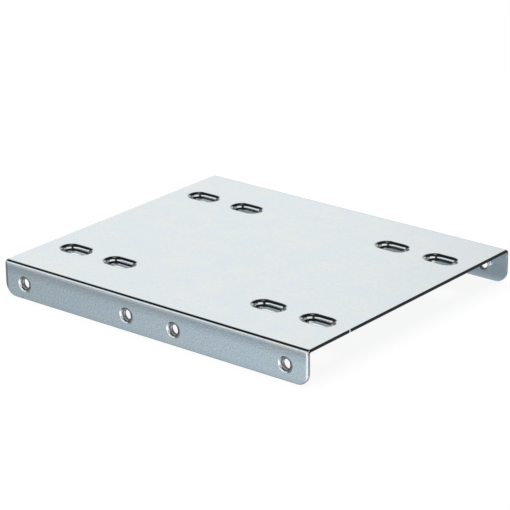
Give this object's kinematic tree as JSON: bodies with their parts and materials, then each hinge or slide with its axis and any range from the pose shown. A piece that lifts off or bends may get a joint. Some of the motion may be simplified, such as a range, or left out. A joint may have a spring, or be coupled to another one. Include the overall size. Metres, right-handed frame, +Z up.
{
  "type": "drive bay adapter bracket",
  "caption": "Shallow folded steel channel that fits a small drive into a larger drive bay, with recessed slots in the plate and drawn, tapped holes in both flanges.",
  "frame": {"origin": "under the middle of the plate, on the plane that the feet of the two flanges stand on", "axes": "+X along the drive, parallel to the folds; +Y across the bay; +Z up through the plate's outer face"},
  "size_m": [0.1178, 0.1016, 0.0113],
  "materials": {
    "zinc_plated_steel": "bright zinc plate, satin"
  },
  "bodies": {
    "root": {"bracket": "zinc_plated_steel"}
  },
  "joints": []
}
